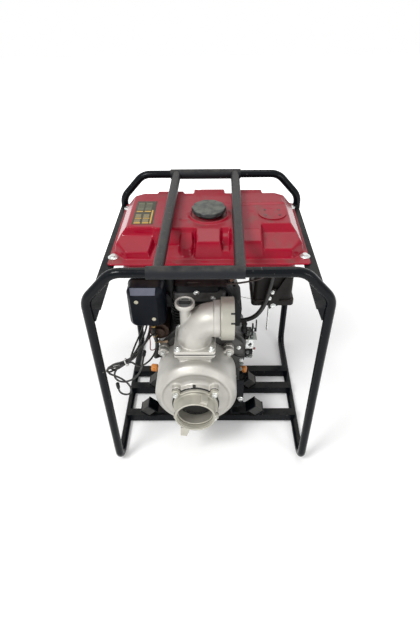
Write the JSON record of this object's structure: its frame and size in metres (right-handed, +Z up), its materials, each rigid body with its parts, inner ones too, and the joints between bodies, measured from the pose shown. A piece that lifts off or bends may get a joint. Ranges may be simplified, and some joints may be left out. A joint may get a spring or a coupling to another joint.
{
  "type": "diesel water pump",
  "caption": "Self-priming centrifugal water pump with a cast volute, suction nozzle and outlet elbow, on an air-cooled diesel engine in a tube frame under a red fuel tank.",
  "frame": {"origin": "on the floor at the middle of the tube frame's footprint", "axes": "+X to the right seen from the suction port, +Y from the suction port towards the engine, +Z up"},
  "size_m": [0.552, 0.543, 0.682],
  "materials": {
    "frame_paint": "semi-gloss black paint with scratches",
    "sleeve_rubber": "matt black sleeve",
    "mount_rubber": "matt black moulded rubber",
    "cast_alloy": "sand-cast, blasted and dull",
    "engine_alloy": "die-cast, dull with dust and oil",
    "gasket": "matt black seal",
    "plug_plastic": "grey moulded plug",
    "engine_black": "black paint with dust",
    "starter_steel": "brown tinted steel can",
    "oil_cap_plastic": "orange plastic",
    "zinc_steel": "yellow zinc plate",
    "lever_black": "black oxide",
    "filter_plastic": "black moulded plastic",
    "muffler_paint": "heat-proof black, dusty",
    "exhaust_steel": "heat-stained steel",
    "tank_red": "gloss red paint with dust",
    "cap_plastic": "black moulded plastic",
    "hose_rubber": "black rubber hose",
    "hose_brown": "brown stained thin hose",
    "lead_black": "black sleeved lead"
  },
  "bodies": {
    "machine": {"front_hoop": "frame_paint", "rear_hoop": "frame_paint", "skid_left": "frame_paint", "skid_right": "frame_paint", "carry_bar_left": "frame_paint", "carry_bar_right": "frame_paint", "side_rail_left": "frame_paint", "side_rail_right": "frame_paint", "cross_member_front": "frame_paint", "cross_member_middle": "frame_paint", "cross_member_rear": "frame_paint", "engine_rail_left": "frame_paint", "engine_rail_right": "frame_paint", "mount_lower_brackets": "frame_paint", "mount_upper_brackets": "frame_paint", "grip_sleeve_front": "sleeve_rubber", "grip_sleeve_rear": "sleeve_rubber", "rubber_mounts": "mount_rubber", "pump_back_plate": "cast_alloy", "pump_casing": "cast_alloy", "suction_gasket": "gasket", "suction_nozzle": "cast_alloy", "suction_lock_ring": "cast_alloy", "elbow_gasket": "gasket", "discharge_elbow": "cast_alloy", "discharge_ring": "cast_alloy", "priming_plug": "plug_plastic", "crankcase": "engine_alloy", "crankcase_cover": "engine_alloy", "cylinder_barrel": "engine_black", "cylinder_head": "engine_alloy", "rocker_cover": "engine_black", "cylinder_cowl": "engine_black", "fan_housing": "engine_black", "recoil_cover": "engine_black", "recoil_handle": "cap_plastic", "starter_motor": "starter_steel", "oil_caps": "oil_cap_plastic", "injection_pump": "engine_alloy", "control_bracket": "zinc_steel", "air_cleaner_cover": "filter_plastic", "air_cleaner_body": "filter_plastic", "intake_duct": "engine_black", "muffler": "muffler_paint", "exhaust_pipe": "exhaust_steel", "tank_upper_shell": "tank_red", "tank_lower_shell": "tank_red", "tank_pads": "mount_rubber", "filler_neck": "tank_red", "gauge_cover": "tank_red", "muffler_hangers": "muffler_paint", "fuel_hose": "hose_rubber", "return_line": "hose_brown", "wiring_harness": "lead_black", "lead_a": "lead_black", "lead_b": "lead_black", "lead_plugs": "cap_plastic"},
    "fuel_cap": {"fuel_cap": "cap_plastic"},
    "speed_lever": {"speed_lever": "lever_black"}
  },
  "joints": [
    {"name": "fuel_cap_turn", "type": "hinge", "parent": "machine", "child": "fuel_cap", "pos_m": [0, 0.05, 0.657], "axis": [0, 0, 1], "range_deg": [0, 90]},
    {"name": "speed_lever_swing", "type": "hinge", "parent": "machine", "child": "speed_lever", "pos_m": [0.13, -0.034, 0.318], "axis": [1, 0, 0], "range_deg": [-25, 25]}
  ]
}
